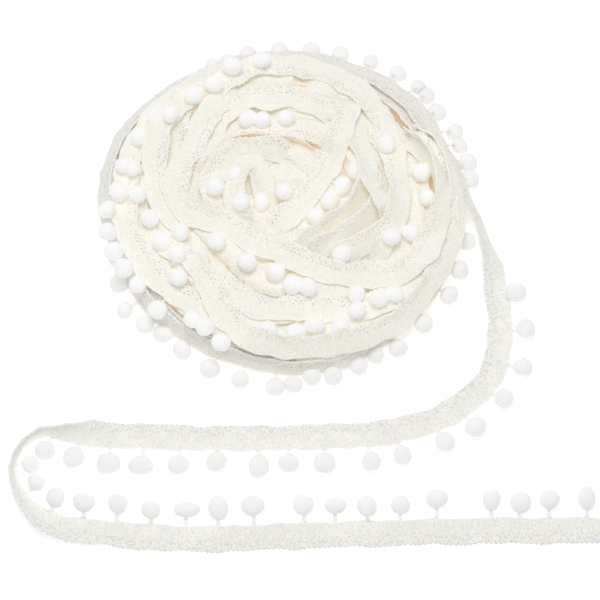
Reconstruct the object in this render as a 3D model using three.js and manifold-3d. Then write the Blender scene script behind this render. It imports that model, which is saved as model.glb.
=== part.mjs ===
// Pompom fringe trim: one long woven tape with a pompom tied on every 17 mm or so of its edge.
// Most of it is wound into a loose, flattish coil that lies on the table. Its outer end leaves the
// coil, lies flat, makes a hairpin bend standing on edge, and comes back past the coil's front.
// Millimetres, +Z up, everything rests on z = 0.
import * as THREE from 'three';
import { mergeVertices } from 'three/addons/utils/BufferGeometryUtils.js';
import Module from 'manifold-3d';

const wasm = await Module();
wasm.setup();

// ---- The trim itself ----
const TAPE_WIDTH = 12.5;
const TAPE_THICKNESS = 1.2;
const POMPOM_DIAMETER = 10;
const POMPOM_FLAT = 0.3;         // how much the pile is pressed flat where a pompom rests
const STALK_DIAMETER = 1.6;      // the two or three threads that hold a pompom
const STALK_GAP = 0.65;          // from the tape's edge to the end of the stalk

// ---- The wound coil ----
const COIL_CENTRE = new THREE.Vector2(0, -7);
const COIL_SECTORS = 99;
const RIM_POMPOMS = 33;          // pompoms round the outermost turn
const RIM_SCALLOP = 1.5;         // how far they stand out of it
const RIM_HEIGHT = 8;
const UNDERSIDE_INSET = 4;       // the rim rounds in to the flat underside
const TWIST_HALF_WIDTH = 7;

const COIL_OUTLINE = [
  { angle: 0, radius: 94.2 }, { angle: 16, radius: 96 }, { angle: 30, radius: 100 },
  { angle: 50, radius: 104 }, { angle: 70, radius: 98 }, { angle: 90, radius: 95 },
  { angle: 108, radius: 97 }, { angle: 130, radius: 96 }, { angle: 160, radius: 95.5 },
  { angle: 186, radius: 94.5 }, { angle: 210, radius: 97 }, { angle: 230, radius: 92 },
  { angle: 255, radius: 93.5 }, { angle: 285, radius: 92 }, { angle: 308, radius: 91 },
  { angle: 330, radius: 95 }, { angle: 348, radius: 92 },
];

// The heap is highest on a ring half-way out, and dips a little in the middle. The top surface is
// sampled at these shares of the radius.
const COIL_SECTION = [
  { share: 0.04, height: 20 }, { share: 0.12, height: 21 }, { share: 0.2, height: 22 },
  { share: 0.28, height: 24 }, { share: 0.35, height: 26 }, { share: 0.42, height: 27 },
  { share: 0.49, height: 28 }, { share: 0.56, height: 28 }, { share: 0.62, height: 28 },
  { share: 0.68, height: 27 }, { share: 0.74, height: 26 }, { share: 0.8, height: 24 },
  { share: 0.85, height: 22 }, { share: 0.9, height: 19.5 }, { share: 0.94, height: 17 },
  { share: 0.97, height: 14 },
];

// The main twists: turns of tape that lie across the heap, each along an arc of its own.
const TWISTS = [
  { x: -213, y: -380, radius: 404, from: 56, to: 70, rise: 3 },
  { x: 33, y: -5, radius: 44, from: 236, to: 345, rise: 3 },
  { x: 22, y: 0, radius: 79, from: 135, to: 184, rise: 3 },
  { x: -44, y: 42, radius: 68, from: 297, to: 350, rise: 4 },
  { x: -11, y: -12, radius: 47, from: 54, to: 116, rise: 2.5 },
  { x: -19, y: -21, radius: 78, from: 55, to: 105, rise: 2.5 },
  { x: -42, y: -39, radius: 131, from: 8, to: 48, rise: 3 },
  { x: -21, y: -9, radius: 59, from: 195, to: 256, rise: 2.5 },
  { x: 3, y: -16, radius: 69, from: 232, to: 330, rise: 3 },
];

// ---- The loose end ----
// The route of the tape's pompom edge on the table, from the coil to the cut end, and how far the
// tape leans there: 0 lies flat, 90 stands on its pompom edge.
const LOOSE_ROUTE = [
  { x: 98.5, y: -7, lean: 64 }, { x: 102.5, y: -19, lean: 54 }, { x: 107.5, y: -31, lean: 34 },
  { x: 110, y: -45, lean: 14 }, { x: 111.5, y: -60, lean: 6 }, { x: 111, y: -75, lean: 4 },
  { x: 108, y: -87, lean: 4 }, { x: 102, y: -98, lean: 4 }, { x: 91, y: -109, lean: 3 },
  { x: 76, y: -118, lean: 2 }, { x: 60, y: -123.5, lean: 2 }, { x: 44, y: -126.5, lean: 2 },
  { x: 6, y: -128.5, lean: 2 }, { x: -31, y: -129, lean: 2 }, { x: -71, y: -128, lean: 4 },
  { x: -92, y: -127, lean: 10 }, { x: -101, y: -126, lean: 22 }, { x: -110, y: -123.5, lean: 55 },
  { x: -117, y: -121.5, lean: 76 }, { x: -123, y: -123.5, lean: 84 }, { x: -128.5, y: -129, lean: 85 },
  { x: -131, y: -136.5, lean: 84 }, { x: -129.5, y: -144, lean: 74 }, { x: -124.5, y: -151, lean: 54 },
  { x: -118, y: -156, lean: 38 }, { x: -111, y: -159.5, lean: 22 }, { x: -101, y: -162, lean: 10 },
  { x: -83, y: -163.5, lean: 4 }, { x: -68, y: -165, lean: 2 }, { x: -40, y: -166, lean: 0 },
  { x: 6, y: -164.5, lean: 0 }, { x: 54, y: -163, lean: 0 }, { x: 101, y: -162, lean: 0 },
  { x: 156, y: -162, lean: 0 },
];
const STEPS_PER_STRETCH = 4;

// Each pompom of the loose end: its distance along the edge from the one before, the first from the
// coil, and how far its middle stands off the edge. They are tied on unevenly.
const LOOSE_POMPOMS = [
  { gap: 42.5, reach: 5 }, { gap: 19.5, reach: 5.5 }, { gap: 18.5, reach: 6.5 }, { gap: 15.5, reach: 6 },
  { gap: 18, reach: 7 }, { gap: 15.5, reach: 6.5 }, { gap: 20.5, reach: 7 }, { gap: 14.5, reach: 8 },
  { gap: 21.5, reach: 8 }, { gap: 17.5, reach: 7 }, { gap: 14.5, reach: 8 }, { gap: 20, reach: 6 },
  { gap: 18, reach: 8 }, { gap: 17.5, reach: 9 }, { gap: 16, reach: 8.5 }, { gap: 16, reach: 7.5 },
  { gap: 13, reach: 8 }, { gap: 25, reach: 7.2 }, { gap: 16.3, reach: 5.8 }, { gap: 14.7, reach: 5.5 },
  { gap: 16, reach: 6 }, { gap: 16, reach: 6.5 }, { gap: 16.5, reach: 6 }, { gap: 16.5, reach: 6.5 },
  { gap: 15.5, reach: 7.5 }, { gap: 17, reach: 8 }, { gap: 24, reach: 7.5 }, { gap: 14.5, reach: 6.5 },
  { gap: 15.5, reach: 6 }, { gap: 15.5, reach: 6 }, { gap: 17.5, reach: 8.5 }, { gap: 26, reach: 7 },
  { gap: 13.5, reach: 6 }, { gap: 14, reach: 7 }, { gap: 18, reach: 8 },
];

const TAPE_COLOUR = 0xf0eee2;
const POMPOM_COLOUR = 0xededed;

// ---------------------------------------------------------------- helpers

const radians = THREE.MathUtils.degToRad;
const UP = new THREE.Vector3(0, 0, 1);

function named(name, geometry, colour) {
  const material = new THREE.MeshStandardMaterial({ color: colour, roughness: 0.95, metalness: 0 });
  const mesh = new THREE.Mesh(geometry, material);
  mesh.name = name;
  return mesh;
}

// A closed mesh from rings of the same number of points, each end closed by a fan on its own centre.
function closedRings(rings, startCentre, endCentre) {
  const count = rings[0].length;
  const points = [startCentre, ...rings.flat(), endCentre];
  const at = (ring, i) => 1 + ring * count + (i % count);
  const index = [];
  for (let i = 0; i < count; i += 1) {
    index.push(0, at(0, i + 1), at(0, i));
    for (let ring = 0; ring < rings.length - 1; ring += 1) {
      index.push(at(ring, i), at(ring, i + 1), at(ring + 1, i + 1));
      index.push(at(ring, i), at(ring + 1, i + 1), at(ring + 1, i));
    }
    index.push(points.length - 1, at(rings.length - 1, i), at(rings.length - 1, i + 1));
  }
  const geometry = new THREE.BufferGeometry().setFromPoints(points);
  geometry.setIndex(index);
  geometry.computeVertexNormals();
  return geometry;
}

function toSolid(geometry) {
  const bare = geometry.clone();
  bare.deleteAttribute('normal');
  bare.deleteAttribute('uv');
  const merged = mergeVertices(bare, 1e-4);
  return new wasm.Manifold(new wasm.Mesh({
    numProp: 3,
    vertProperties: new Float32Array(merged.attributes.position.array),
    triVerts: new Uint32Array(merged.index.array),
  }));
}

function toGeometry(solid) {
  const mesh = solid.getMesh();
  const geometry = new THREE.BufferGeometry();
  geometry.setAttribute('position', new THREE.BufferAttribute(mesh.vertProperties, 3));
  geometry.setIndex(new THREE.BufferAttribute(mesh.triVerts, 1));
  geometry.computeVertexNormals();
  return geometry;
}

// ---------------------------------------------------------------- wound coil

// The outline's radius at an angle in degrees, eased between the rows of its table.
function outlineRadius(angle) {
  const turned = ((angle % 360) + 360) % 360;
  const next = COIL_OUTLINE.findIndex((row) => row.angle > turned);
  const after = next < 0 ? { angle: 360, radius: COIL_OUTLINE[0].radius } : COIL_OUTLINE[next];
  const before = COIL_OUTLINE[(next < 0 ? COIL_OUTLINE.length : next) - 1];
  const share = THREE.MathUtils.smoothstep(turned, before.angle, after.angle);
  return THREE.MathUtils.lerp(before.radius, after.radius, share);
}

// How much a twist lifts the surface at a place: a rounded ridge along its arc.
function twistRise(twist, place) {
  const offset = place.clone().sub(new THREE.Vector2(twist.x, twist.y));
  const angle = THREE.MathUtils.radToDeg(Math.atan2(offset.y, offset.x));
  const turned = (((angle - twist.from) % 360) + 360) % 360;
  const sweep = twist.to - twist.from;
  const past = turned <= sweep ? 0 : Math.min(turned - sweep, 360 - turned);
  const along = radians(past) * twist.radius;
  const across = Math.abs(offset.length() - twist.radius);
  const nearness = 1 - Math.hypot(along, across) / TWIST_HALF_WIDTH;
  return twist.rise * THREE.MathUtils.smoothstep(nearness, 0, 0.6);
}

function coilRing(radiusAt, heightAt) {
  return Array.from({ length: COIL_SECTORS }, (_, i) => {
    const angle = (360 * i) / COIL_SECTORS;
    const radius = radiusAt(angle);
    const x = COIL_CENTRE.x + radius * Math.cos(radians(angle));
    const y = COIL_CENTRE.y + radius * Math.sin(radians(angle));
    return new THREE.Vector3(x, y, heightAt(new THREE.Vector2(x, y)));
  });
}

function coilGeometry() {
  const scallop = (angle) => RIM_SCALLOP * Math.cos(radians(angle * RIM_POMPOMS));
  const rim = (angle) => outlineRadius(angle) + scallop(angle);
  const lift = (place) => Math.max(...TWISTS.map((twist) => twistRise(twist, place)));
  const top = COIL_SECTION.map(({ share, height }) => coilRing(
    (angle) => share * outlineRadius(angle),
    (place) => height + lift(place),
  ));
  const rings = [
    coilRing((angle) => rim(angle) - UNDERSIDE_INSET, () => 0),
    coilRing((angle) => rim(angle) - UNDERSIDE_INSET / 4, () => RIM_HEIGHT / 4),
    coilRing(rim, () => RIM_HEIGHT * 0.6),
    coilRing((angle) => rim(angle) - RIM_SCALLOP / 2, () => RIM_HEIGHT),
    ...top.reverse(),
  ];
  const middle = (height) => new THREE.Vector3(COIL_CENTRE.x, COIL_CENTRE.y, height);
  return closedRings(rings, middle(0), middle(COIL_SECTION[0].height));
}

// ---------------------------------------------------------------- loose tape and its pompoms

const looseEdge = new THREE.CatmullRomCurve3(
  LOOSE_ROUTE.map(({ x, y }) => new THREE.Vector3(x, y, 0)),
);
looseEdge.arcLengthDivisions = 2000;

// The place on the pompom edge, the way its pompoms point and the tape's lean, at parameter t.
function edgeFrame(t) {
  const stretch = Math.min(Math.floor(t * (LOOSE_ROUTE.length - 1)), LOOSE_ROUTE.length - 2);
  const share = t * (LOOSE_ROUTE.length - 1) - stretch;
  const lean = THREE.MathUtils.lerp(LOOSE_ROUTE[stretch].lean, LOOSE_ROUTE[stretch + 1].lean, share);
  const outward = UP.clone().cross(looseEdge.getTangent(t)).normalize();
  return { place: looseEdge.getPoint(t), outward, lean: radians(lean) };
}

function tapeSection(t) {
  const { place, outward, lean } = edgeFrame(t);
  const across = UP.clone().multiplyScalar(Math.sin(lean)).addScaledVector(outward, -Math.cos(lean));
  const through = UP.clone().multiplyScalar(Math.cos(lean)).addScaledVector(outward, Math.sin(lean));
  const farEdge = place.clone().addScaledVector(across, TAPE_WIDTH);
  return [
    place,
    place.clone().addScaledVector(through, TAPE_THICKNESS),
    farEdge.clone().addScaledVector(through, TAPE_THICKNESS),
    farEdge,
  ];
}

function centreOf(points) {
  const sum = points.reduce((total, point) => total.add(point), new THREE.Vector3());
  return sum.divideScalar(points.length);
}

function tapeGeometry() {
  const steps = (LOOSE_ROUTE.length - 1) * STEPS_PER_STRETCH;
  const sections = Array.from({ length: steps + 1 }, (_, i) => tapeSection(i / steps));
  return closedRings(sections, centreOf(sections[0]), centreOf(sections[steps]));
}

// A ball of pile with its tying threads, which run back to the tape's edge.
function pompomGeometry(distance, reach) {
  const { place, outward, lean } = edgeFrame(looseEdge.getUtoTmapping(0, distance));
  const radius = POMPOM_DIAMETER / 2;
  const centre = place.clone().addScaledVector(outward, reach).setZ(radius - POMPOM_FLAT);
  const tapeFace = TAPE_THICKNESS * Math.sin(lean);
  const tied = place.clone().addScaledVector(outward, tapeFace + STALK_GAP).setZ(STALK_DIAMETER / 2);
  const stalk = centre.clone().sub(tied);
  const length = stalk.length();
  const turn = new THREE.Quaternion().setFromUnitVectors(new THREE.Vector3(0, 1, 0), stalk.normalize());

  const ball = new THREE.SphereGeometry(radius, 8, 6);
  ball.applyQuaternion(turn).translate(centre.x, centre.y, centre.z);
  const threads = new THREE.CylinderGeometry(STALK_DIAMETER / 2, STALK_DIAMETER / 2, length, 6);
  threads.translate(0, length / 2, 0).applyQuaternion(turn).translate(tied.x, tied.y, tied.z);
  return toGeometry(toSolid(ball).add(toSolid(threads)).trimByPlane([0, 0, 1], 0));
}

// ---------------------------------------------------------------- the whole trim

const trim = new THREE.Group();
trim.add(named('wound_coil', coilGeometry(), TAPE_COLOUR));
trim.add(named('loose_tape', tapeGeometry(), TAPE_COLOUR));

let distance = 0;
LOOSE_POMPOMS.forEach(({ gap, reach }, i) => {
  distance += gap;
  const name = `pompom_${String(i + 1).padStart(2, '0')}`;
  trim.add(named(name, pompomGeometry(distance, reach), POMPOM_COLOUR));
});

// The origin is under the middle of the whole trim, on the surface it rests on.
const extent = new THREE.Box3().setFromObject(trim);
const middle = extent.getCenter(new THREE.Vector3());
trim.position.set(-middle.x, -middle.y, 0);

export default trim;
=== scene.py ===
"""Pompom fringe trim: one long woven cotton tape with yarn pompoms tied along one edge, wound into a
loose flat coil, with its outer end lying free in a hairpin bend.

Until a mesh is made, sizes are in millimetres on a plan of the table; a mesh is in the frame's metres.
"""

import math

import bpy
import numpy as np
from mathutils import Matrix, Vector


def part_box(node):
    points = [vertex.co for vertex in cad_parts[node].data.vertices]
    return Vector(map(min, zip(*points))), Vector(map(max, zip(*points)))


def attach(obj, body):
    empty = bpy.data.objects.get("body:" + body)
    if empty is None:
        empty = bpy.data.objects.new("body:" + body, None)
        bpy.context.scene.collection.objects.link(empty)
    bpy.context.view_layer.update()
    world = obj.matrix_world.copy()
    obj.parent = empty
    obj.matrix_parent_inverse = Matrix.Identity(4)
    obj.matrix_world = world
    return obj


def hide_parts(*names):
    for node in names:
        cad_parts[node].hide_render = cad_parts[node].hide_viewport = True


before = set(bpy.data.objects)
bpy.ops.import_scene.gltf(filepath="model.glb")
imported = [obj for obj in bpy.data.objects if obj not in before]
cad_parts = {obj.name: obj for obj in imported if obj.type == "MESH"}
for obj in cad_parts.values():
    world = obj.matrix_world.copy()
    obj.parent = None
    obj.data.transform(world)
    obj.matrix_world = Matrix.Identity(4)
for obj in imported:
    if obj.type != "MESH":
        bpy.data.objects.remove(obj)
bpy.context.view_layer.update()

# ---------------------------------------------------------------- sizes, in millimetres

MM = 0.001
TAPE_WIDTH = 12.5
TAPE_THICKNESS = 0.8
POMPOM_RADIUS = 5.0
POMPOM_PITCH = 17.0
THREAD_RADIUS = 0.36
THREAD_SPACING = 1.7 * THREAD_RADIUS

# The camera's place and what it looks at, and its lens: half the picture's width and the focal length,
# both in pixels.
EYE = np.array([6.0, -387.1, 834.5])
LOOKS_AT = np.array([6.0, -50.0, 0.0])
HALF_PICTURE = 300
FOCAL_LENGTH = 1799.8

# The plan is moved so that the tape's cut end and the coil's back are where the frame has them.
CUT_END_X = 156.0
COIL_BACK_Y = 89.5
tape_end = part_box("loose_tape")[1]
coil_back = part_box("wound_coil")[1]
PLAN_TO_FRAME = np.array([tape_end[0] / MM - CUT_END_X, coil_back[1] / MM - COIL_BACK_Y, 0.0])


def to_frame(points):
    return (np.asarray(points, float) + PLAN_TO_FRAME) * MM


# ---------------------------------------------------------------- routes

# The free end: its pompom edge on the table, and how far the tape leans there, from 0, flat, to 90,
# standing on that edge.
LOOSE_ROUTE = [
    # x, y, lean
    (98.5, -7, 64), (102.5, -19, 54), (107.5, -31, 34), (110, -45, 14), (111.5, -60, 6), (111, -75, 4),
    (108, -87, 4), (102, -98, 4), (91, -109, 3), (76, -118, 2), (60, -123.5, 2), (44, -126.5, 2),
    (6, -128.5, 2), (-31, -129, 2), (-71, -128, 4), (-92, -127, 18), (-101, -126, 44),
    (-110, -123.5, 72),
    (-117, -121.5, 86), (-123, -123.5, 92), (-128.5, -129, 94), (-131, -136.5, 90), (-129.5, -144, 80),
    (-124.5, -151, 62), (-118, -156, 42), (-111, -159.5, 24), (-101, -162, 10), (-83, -163.5, 4),
    (-68, -165, 2), (-40, -166, 0), (6, -164.5, 0), (54, -163, 0), (101, -162, 0),
    (CUT_END_X, -162, 0),
]

# Each pompom of the free end: its distance along the edge from the one before, its reach off the edge,
# and its size along the edge and away from it.
LOOSE_POMPOMS = [
    # gap, reach, along, away
    (43.5, 3, 9.5, 9.5), (18.5, 5.5, 9, 9.5), (18.5, 6.5, 9.5, 10), (17, 6, 9.5, 9), (18, 7, 10.5, 9.5),
    (15.5, 6.5, 9.5, 10.5), (20.5, 7, 9.5, 10), (14.5, 8, 10, 10.5), (21.5, 8, 11, 12),
    (17.5, 7, 10.5, 10), (14.5, 8.5, 9.5, 12), (20, 6, 10, 10), (18, 8, 11, 10.5), (17.5, 9, 12, 10),
    (16, 8.5, 11, 10.5), (16, 7.5, 10, 10.5), (13, 8, 10.5, 10.5), (25, 8, 9, 8.5), (16.3, 6.5, 9, 9),
    (14.7, 6, 9.5, 10), (16, 6.5, 10.5, 9), (16, 7, 9.5, 9.5), (16.5, 6, 9.5, 8.5),
    (16.5, 6.5, 12.5, 7.5), (15.5, 7.5, 9, 12), (17, 8, 11, 9.5), (24, 7.5, 10.5, 9.5),
    (14.5, 6.5, 11, 8), (15.5, 6, 9.5, 9.5),
    (15.5, 6, 9.5, 9), (17.5, 8.5, 11, 9), (26, 7, 9, 11), (13.5, 6, 10, 11), (14, 7, 10, 10),
    (18, 8, 9, 11),
]

# The outermost turn, clockwise from where it starts under the right side to where it leaves the coil.
OUTER_ROUTE = [
    # x, y, height of the pompom edge, lean
    (82, 14, 5, 64), (86, -8, 4, 62), (84, -24, 3, 62), (79, -39, 3, 62), (70, -54, 3, 64),
    (59, -66, 3, 66), (50, -74, 3, 70), (41, -80, 3, 74), (35, -84, 2, 76), (25, -88, 2, 78),
    (6, -90.5, 2, 80), (-9, -89, 2, 79), (-23.5, -85.5, 2, 77), (-40.5, -79.5, 2, 74),
    (-52.5, -72.5, 2.5, 70), (-66, -63, 3, 66), (-76, -50.5, 4, 64), (-83.5, -37, 5, 63),
    (-89, -24.5, 7, 62), (-93.5, -12.5, 8.5, 60),
    (-96, 1, 9, 58), (-95.5, 13, 9, 58), (-93, 24, 9, 56), (-90.5, 34, 8, 53), (-85, 45, 7, 49),
    (-77.5, 54, 6, 46), (-70, 62, 5, 45), (-60, 71, 4, 45), (-47.5, 78, 4, 45), (-36, 84, 4, 45),
    (-23, 88, 4, 43), (-4, 89.5, 4.5, 40), (10.2, 88.8, 5, 36), (22.5, 85.6, 6, 34),
    (37.1, 79, 7, 33), (48.7, 73, 9, 32), (55.8, 67.4, 10, 30), (63.6, 60.3, 11, 30),
    (71, 51.7, 11, 30), (77.6, 40.5, 11, 30), (82.2, 29.3, 10, 32), (87.2, 20.3, 9, 35),
    (90.8, 10, 7, 42), (94.2, 2, 3.5, 52), (98.5, -7, 0.6, 64),
]

# Where the outermost turn's pompoms rest.
OUTER_POMPOMS = [
    # x, y
    (90, -20), (86, -36), (80, -49), (67, -64), (54, -77), (43, -81), (35, -86.5), (22, -91.5),
    (12, -92), (3, -96), (-6, -97), (-23, -93), (-38, -88), (-52, -78), (-62, -70), (-70.5, -64.5),
    (-81, -57), (-84, -43), (-86, -29), (-89, -14), (-90.5, 2), (-92, 17), (-84, 35), (-75.5, 47),
    (-65, 59), (-55.5, 68), (-40, 81), (-32, 83), (-21.5, 87.5), (-5, 89.5), (12, 90), (27, 87),
    (43, 83), (57, 76), (68, 68), (72, 63), (77, 53), (86, 42), (88, 34), (92, 24), (93, 15),
]

LEFT, RIGHT = 1, -1

# The turns that lie across the coil, from the lowest to the highest. height is where the route of the
# turn's middle was laid out, and a turn keeps its place as seen from the eye when it comes to rest
# higher or lower. stand is how far the turn stands on its pompom edge, in degrees. side is where the
# pompoms are for someone walking the route. first_tuck is how the first end is tucked in, where that
# isn't as TUCK says.
TURNS = [
    dict(name="lower_loop", height=17, side=RIGHT,
         # x, y, stand
         route=[(-14, 77, 45), (-30, 74, 40), (-44, 67, 30), (-56, 57, 10), (-65, 48, 0), (-74, 35, 0),
                (-79, 21, 0), (-82, 7, 0), (-82, -7, 0), (-79, -20, 0), (-74, -32, 0), (-65, -44, 0),
                (-55, -53, 0), (-43, -60, 0), (-32, -64, 0), (-18, -68, 0), (-2, -70, 0)],
         pompoms=[(-84, 18), (-88, 2), (-89, -9), (-89, -19), (-85, -29), (-80, -37), (-73, -47),
                  (-64, -61), (-67, 45), (-76, 34)]),
    dict(name="inner_edge_3", height=20, side=LEFT,
         route=[(55, 14, 50), (57, 2, 45), (54, -11, 40), (48, -20, 40), (40, -27, 40), (28, -33, 40),
                (16, -38, 40)],
         pompoms=[(28, -34)]),
    dict(name="inner_edge_2", height=21, side=LEFT,
         route=[(48, 18, 55), (49, 6, 55), (46, -5, 50), (39, -15, 50), (28, -23, 50), (17, -30, 50),
                (5, -35, 50)],
         pompoms=[]),
    dict(name="inner_edge_1", height=22, side=LEFT,
         route=[(38, 22, 55), (39, 10, 55), (37, -1, 55), (31, -10, 50), (23, -18, 50), (12, -26, 50),
                (1, -31, 50)],
         pompoms=[]),
    dict(name="heart_1", height=18, side=RIGHT,
         route=[(-34, -16, 20), (-38, -4, 25), (-39, 5, 30), (-33, 16, 35), (-24, 25, 40), (-13, 26, 40),
                (-4, 25, 30), (6, 22, 20)],
         pompoms=[(-30, 13)]),
    dict(name="heart_2", height=20, side=LEFT,
         route=[(-21, -20, 20), (-25, -10, 25), (-27, 1, 30), (-25, 11, 30), (-19, 17, 30),
                (-13.5, 11, 25), (-12, 0, 20), (-9, -10, 10)],
         pompoms=[(-36, 4), (-24, -2), (-16, -3), (-6, 3)]),
    dict(name="inner_arc", height=24, side=LEFT,
         route=[(-44, 6, 30), (-43, 16, 25), (-38, 24, 25), (-31, 32, 25), (-22, 36, 25), (-12, 36, 20),
                (-2, 35, 15), (9, 33, 10), (19, 29, 0), (27, 22, 0)],
         pompoms=[]),
    dict(name="second_arc", height=26, side=RIGHT,
         route=[(-43, 27, 20), (-36, 38, 10), (-29, 45, 0), (-19, 50, 0), (-9, 50, 0), (1, 51, 0),
                (11, 47, 0), (21, 43, 0), (30, 37, 0)],
         pompoms=[(-21, 40), (-13, 39), (-1, 40)]),
    dict(name="inner_right", height=24, side=LEFT,
         route=[(27, 52, 10), (32, 40, 20), (36, 27, 30), (39, 16, 35), (41, 6, 40), (45, -3, 40),
                (50, -10, 35), (52, -20, 20)],
         pompoms=[]),
    dict(name="cross_strap", height=29, side=LEFT,
         route=[(33, 58, 0), (31, 48, 0), (29, 39, 0), (26, 28, 0), (23, 17, 0), (17, 6, 0), (11, -4, 0),
                (4, -13, 0), (-5, -21, 0), (-15, -29, 0)],
         pompoms=[(35, 15), (27, 1), (21, -7), (13.2, -15.3)]),
    dict(name="right_edge", height=17, side=RIGHT,
         route=[(56, 38, 10), (63, 31, 25), (70, 25, 35), (76, 15, 40), (79, 2, 40), (80, -9, 40),
                (79, -22, 30)],
         pompoms=[]),
    dict(name="left_inner", height=18, side=RIGHT,
         route=[(-50, 60, 0), (-54, 50, 0), (-56.5, 39, 0), (-57, 27, 0), (-56.5, 16, 0), (-55, 5, 0),
                (-51, -6, 0), (-44, -15, 0)],
         pompoms=[]),
    dict(name="top_arc", height=23, side=LEFT,
         route=[(-44, 48, 0), (-37, 58, 0), (-31, 64, 0), (-22, 68, 0), (-14, 71, 0), (-4, 71, 0),
                (6, 70, 0), (16, 67, 0), (26, 63, 0), (35, 57, 0), (42, 49, 0), (48, 37, 0), (51, 26, 0),
                (54, 14, 0), (55, 3, 0), (55, -9, 0), (51, -21, 0), (45, -31, 0), (37, -40, 0)],
         pompoms=[(-29, 75), (-14, 76), (39, 27), (67, 11), (72, -3), (61, -22), (52, -28)]),
    dict(name="left_loop", height=22, side=RIGHT, first_tuck=(12, 36),
         route=[(-20, 61, 0), (-32, 60, 0), (-46, 56, 0), (-57, 48, 0), (-64, 37, 0), (-67, 24, 0),
                (-67, 12, 0), (-65, 0, 0), (-60, -10, 0), (-52, -18, 0), (-42, -23, 0)],
         pompoms=[(-38, 63), (-48, 55), (-56, 42), (-76, 14), (-75, 0), (-69, -14)]),
    dict(name="front_arc", height=21, side=RIGHT,
         route=[(-66, -20, 0), (-58, -30, 0), (-48, -39, 0), (-39, -46, 0), (-27, -54, 0), (-16, -61, 0),
                (-5, -63, 0), (6, -63, 0), (18, -63, 0), (29, -63.5, 0), (41, -61.5, 0), (53, -55, 0),
                (63, -46, 0), (70, -34, 0)],
         pompoms=[(-65, -27), (-57, -36), (-51, -44), (-10, -73), (4, -74), (14, -68), (25, -69),
                  (34, -63)]),
    dict(name="front_loop", height=20, side=RIGHT,
         route=[(-48, -28, 0), (-44, -40, 0), (-39, -49, 0), (-34, -60, 0), (-28, -69, 0), (-20, -77, 0),
                (-8, -81, 0), (6, -83, 0), (20, -81, 0), (35, -78, 0), (47, -73, 0), (57, -66, 0),
                (65, -57, 0), (72, -45, 0), (78, -33, 5), (82, -21, 20), (84, -9, 45), (84, 4, 60),
                (81, 17, 68), (75, 29, 70), (66, 41, 70)],
         pompoms=[(-48, -68), (-40, -71), (-31, -79)]),
    dict(name="great_loop", height=27, side=RIGHT, first_tuck=(20, 50),
         route=[(0, 53, 0), (-13, 55, 0), (-24, 54, 0), (-34, 49, 0), (-41, 40, 0), (-45, 30, 0),
                (-48, 20, 0), (-54, 10, 0), (-56, -1, 0), (-52, -11, 0), (-42, -17, 0), (-29, -22, 0),
                (-16, -30, 0), (-3, -36, 0), (11, -42, 0), (25, -47, 0), (40, -48, 0), (54, -47, 0),
                (64, -39, 0), (71, -27, 10), (75, -15, 30), (77, -2, 55), (75, 11, 65), (69, 24, 70),
                (60, 36, 70)],
         pompoms=[(-53, -23), (-35, -28), (-20, -39), (-6, -45), (2, -52), (10, -53), (33, -55),
                  (44, -59), (52, -56)]),
]

# How many of these, from the lowest, are woven as the lower piece. The rest are the upper one.
LOWER_COUNT = 11

# How far below its resting height each end of a turn is tucked in, and over what length.
TUCK = (9, 14)

# The turns that the others rest on: rings round the coil's middle, some flat on the table, some
# standing on their pompom edge, and the rest lying flat on those.
COIL_CENTRE = (0.0, -3.0)
BOTTOM_RADII = [55, 66, 77]
STANDING_RADII = [15, 26, 37, 48, 59, 71, 84]
LYING_RADII = [18, 35, 52, 67]
FLAT_RADII = [7, 27, 44, 60]
LYING = (0,)
# How high a standing ring's pompom edge is, and its lean.
STANDING = (1.6, 80)
# The standing ring that shows at the rim, and the part turn lying just inside it, with the directions,
# in degrees round from +X, between which it lies.
RIM_RADIUS = 84
PART_TURN_RADIUS = 75
PART_TURN = (88, 352)
# The parts of the outermost turn that have a second turn standing close inside them.
SECOND_TURNS = [
    # from, to, how far inside, how much lower, lean
    (150, 330, 2.4, 2, 66), (318, 432, 2.6, 2, 54), (440, 575, 4.2, 1.5, 30),
]
# A strip of the peach, glowing cloth that stands on its pompom edge in the gap behind the heart: a sheet
# put there to paint warm light into that slit.
HEART_GLOW_STRIP = [
    # x, y, height of the pompom edge, lean
    (-35.5, 25, 6, 80), (-31.6, 29.8, 9.5, 80), (-26.5, 32.1, 11.5, 80), (-20.3, 33.4, 12, 80),
    (-14.5, 33.1, 12, 80), (-6.5, 32.8, 12, 80), (1.8, 31.7, 11, 80), (8.8, 29.9, 9, 80),
    (14.2, 27.4, 4.5, 80),
]

# ---------------------------------------------------------------- laying tape

# The grid that the heap's height is kept on: its cell, its lowest corner and its cells.
CELL = 1.0
GRID_LOW = np.array([-130.0, -130.0])
GRID_SHAPE = (261, 241)
# The distance between a strip's stations, the points that a route's curve has between two rows, and
# the points across a tape that count in the heap.
STEP = 2.0
ROW_POINTS = 32
POINTS_ACROSS = 17
# Where across a tape the heap under it is felt, from its far edge, -1, to its pompom edge, 1.
FELT = (-0.9, -0.45, 0, 0.45, 0.9)
# The stand, in radians, past which a tape rests on its pompom edge alone.
STEEP = 0.4
# How far a tape bridges a hollow, and over what width its height is smoothed, at its edges and middle.
EDGE_SPAN = (4, 5)
MIDDLE_SPAN = (2, 4)
# How far a standing turn may be lifted, how much lower one edge may lie than the other, the further
# drop of a standing turn's pompom edge, and the most that one edge rises over the other.
LIFT = 3
DROP = 9
STANDING_DROP = 3
MOST_RISE = 12.3
# How often a thing is moved along the line of sight and laid again, to settle at its own height.
SETTLING = 3
# How pompoms lie: how far below and above the tape's edge, how near and how far from it, and the share
# of a pompom's radius that what lies on it doesn't press in.
HANG = 7
PERCH = 5
NEAREST, FURTHEST = 4.3, 8.5
FIRM = 0.92


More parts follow.
